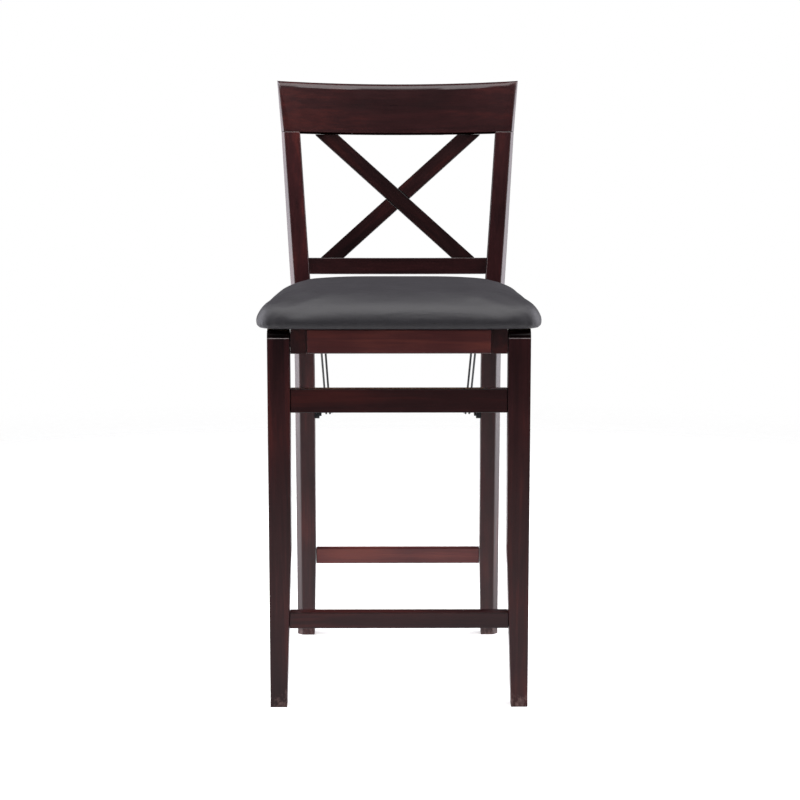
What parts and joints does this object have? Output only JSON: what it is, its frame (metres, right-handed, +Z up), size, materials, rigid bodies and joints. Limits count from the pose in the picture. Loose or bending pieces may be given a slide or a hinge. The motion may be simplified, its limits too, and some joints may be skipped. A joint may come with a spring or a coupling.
{
  "type": "folding counter stool",
  "caption": "Folding wooden counter stool with a curved crest rail, a crossed back, a padded seat and hinged front legs linked by steel wires.",
  "frame": {"origin": "on the floor under the middle of the open stool's width and depth", "axes": "+Z up; the seat faces -Y, and +X is on the right of someone who looks at the stool's front"},
  "size_m": [0.422, 0.4798, 0.9451],
  "materials": {
    "dark_wood": "dark brown stain under satin varnish",
    "red_wood": "reddish brown stain under satin varnish",
    "plain_wood": "bare wood",
    "vinyl": "charcoal vinyl with a fine grain and a soft sheen",
    "black_steel": "black enamel",
    "zinc_steel": "zinc plate",
    "nylon": "black nylon"
  },
  "bodies": {
    "rear_frame": {"left_post": "dark_wood", "right_post": "dark_wood", "left_crest_dowel": "plain_wood", "right_crest_dowel": "plain_wood", "crest_rail": "dark_wood", "lower_back_rail": "dark_wood", "rear_stretcher": "red_wood", "front_x_slat": "dark_wood", "rear_x_slat": "dark_wood", "left_seat_rest": "black_steel", "right_seat_rest": "black_steel", "left_rest_screw": "zinc_steel", "right_rest_screw": "zinc_steel", "left_leg_pivot_hub": "black_steel", "right_leg_pivot_hub": "black_steel", "left_leg_pivot_pin": "zinc_steel", "right_leg_pivot_pin": "zinc_steel"},
    "left_link": {"left_outer_link_wire": "black_steel", "left_inner_link_wire": "black_steel"},
    "right_link": {"right_outer_link_wire": "black_steel", "right_inner_link_wire": "black_steel"},
    "seat": {"seat_left_side_rail": "red_wood", "seat_right_side_rail": "red_wood", "seat_front_rail": "red_wood", "seat_rear_rail": "red_wood", "front_left_corner_block": "plain_wood", "front_right_corner_block": "plain_wood", "rear_left_corner_block": "plain_wood", "rear_right_corner_block": "plain_wood", "front_left_seat_screw": "zinc_steel", "front_right_seat_screw": "zinc_steel", "rear_left_seat_screw": "zinc_steel", "rear_right_seat_screw": "zinc_steel", "seat_board": "plain_wood", "seat_cushion": "vinyl", "left_seat_pivot_hub": "black_steel", "right_seat_pivot_hub": "black_steel", "left_seat_pivot_pin": "zinc_steel", "right_seat_pivot_pin": "zinc_steel", "left_barrel_nut": "zinc_steel", "right_barrel_nut": "zinc_steel", "left_pivot_bolt": "black_steel", "right_pivot_bolt": "black_steel", "left_pivot_washer": "nylon", "right_pivot_washer": "nylon"},
    "front_frame": {"left_front_leg": "dark_wood", "right_front_leg": "dark_wood", "upper_stretcher": "dark_wood", "footrest_stretcher": "dark_wood"}
  },
  "joints": [
    {"name": "fold", "type": "hinge", "parent": "rear_frame", "child": "left_link", "pos_m": [0, 0.16074, 0.395], "axis": [-1, 0, 0], "range_deg": [0, 54.2]},
    {"name": "right_link_pivot", "type": "hinge", "parent": "rear_frame", "child": "right_link", "pos_m": [0, 0.16074, 0.395], "axis": [-1, 0, 0], "range_deg": [0, 54.2]},
    {"name": "seat_pivot", "type": "hinge", "parent": "left_link", "child": "seat", "pos_m": [0, -0.08636, 0.544], "axis": [1, 0, 0], "range_deg": [0, 144.2]},
    {"name": "front_leg_pivot", "type": "hinge", "parent": "seat", "child": "front_frame", "pos_m": [0, -0.21294, 0.556], "axis": [-1, 0, 0], "range_deg": [0, 90]}
  ],
  "couplings": [
    {"joint": "right_link_pivot", "follows": "fold", "ratio": 1},
    {"joint": "seat_pivot", "follows": "fold", "ratio": 2.6604},
    {"joint": "front_leg_pivot", "follows": "fold", "ratio": 1.6604}
  ]
}
